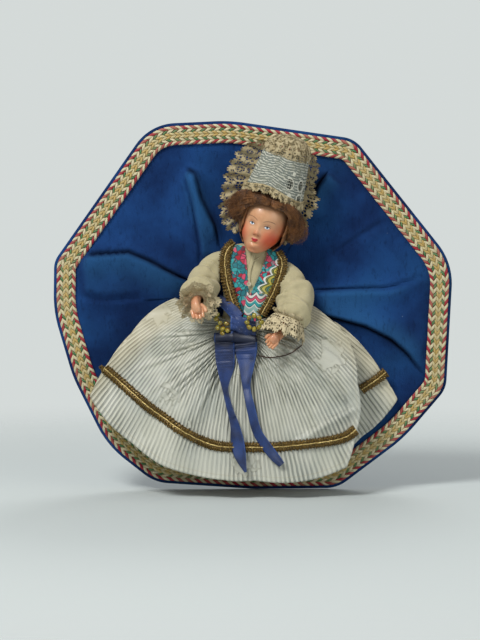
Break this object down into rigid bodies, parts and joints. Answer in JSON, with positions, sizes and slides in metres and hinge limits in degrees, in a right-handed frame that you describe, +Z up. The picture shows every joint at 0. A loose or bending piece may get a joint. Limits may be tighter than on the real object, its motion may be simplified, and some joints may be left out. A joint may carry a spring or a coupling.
{
  "type": "celluloid doll",
  "caption": "Small strung celluloid doll in regional dress with a lace cap and spread silk skirt, mounted on a blue felt round with a plaited rim.",
  "frame": {"origin": "centre of the flat back face of the felt round", "axes": "+Y out of the back face towards the wall, the doll faces -Y, +Z up, +X to the viewer's right"},
  "size_m": [0.2003, 0.0417, 0.1852],
  "materials": {
    "felt": "wool felt",
    "card": "grey-brown card",
    "plait": "plaited straw-coloured braid with red and cream edges",
    "celluloid": "painted celluloid",
    "elastic": "covered elastic",
    "cotton": "cream cotton",
    "print": "printed cotton",
    "gold": "metal thread gimp",
    "silk": "ribbed silk",
    "satin": "blue satin ribbon",
    "bead": "amber glass",
    "mohair": "brown mohair",
    "lace": "beige lace",
    "net": "embroidered net",
    "button": "dark button"
  },
  "bodies": {
    "root": {"felt_back": "felt", "card_stiffener": "card", "felt_front": "felt", "rim_braid": "plait", "torso": "celluloid", "shoulder_elastic": "elastic", "hip_elastic": "elastic", "neck_elastic": "elastic", "blouse_body": "cotton", "collar": "cotton", "blouse_button": "button", "fichu_left": "print", "fichu_right": "print", "gold_braid_left": "gold", "gold_braid_right": "gold", "ribbon_band": "satin", "bow_knot": "satin", "ribbon_tail_left": "satin", "ribbon_tail_right": "satin", "bead_ring": "bead", "bead_cluster": "bead", "skirt": "silk", "skirt_back_panel": "silk", "skirt_braid": "gold", "skirt_braid_end": "gold"},
    "head": {"head": "celluloid", "wig": "mohair", "cap_brim": "lace", "cap_crown": "net", "cap_top": "lace", "cap_frill_left": "lace", "cap_frill_right": "lace"},
    "arm_left": {"arm_left": "celluloid", "sleeve_left": "cotton", "cuff_lace_left": "lace"},
    "arm_right": {"arm_right": "celluloid", "sleeve_right": "cotton", "cuff_lace_right": "lace"},
    "leg_left": {"leg_left": "celluloid"},
    "leg_right": {"leg_right": "celluloid"}
  },
  "joints": [
    {"name": "head_turn", "type": "hinge", "parent": "root", "child": "head", "pos_m": [0.00099, -0.0145, 0.02684], "axis": [0.2961, -0.1736, 0.9392], "range_deg": [-15, 15]},
    {"name": "shoulder_left", "type": "hinge", "parent": "root", "child": "arm_left", "pos_m": [-0.02125, -0.0135, 0.02206], "axis": [-0.9854, 0, 0.1702], "range_deg": [0, 50]},
    {"name": "shoulder_right", "type": "hinge", "parent": "root", "child": "arm_right", "pos_m": [0.01895, -0.0135, 0.01511], "axis": [-0.9854, 0, 0.1702], "range_deg": [0, 50]},
    {"name": "hip_left", "type": "hinge", "parent": "root", "child": "leg_left", "pos_m": [-0.0131, -0.0135, -0.01538], "axis": [-0.9854, 0, 0.1702], "range_deg": [0, 10]},
    {"name": "hip_right", "type": "hinge", "parent": "root", "child": "leg_right", "pos_m": [-0.00128, -0.0135, -0.01742], "axis": [-0.9854, 0, 0.1702], "range_deg": [0, 10]}
  ]
}
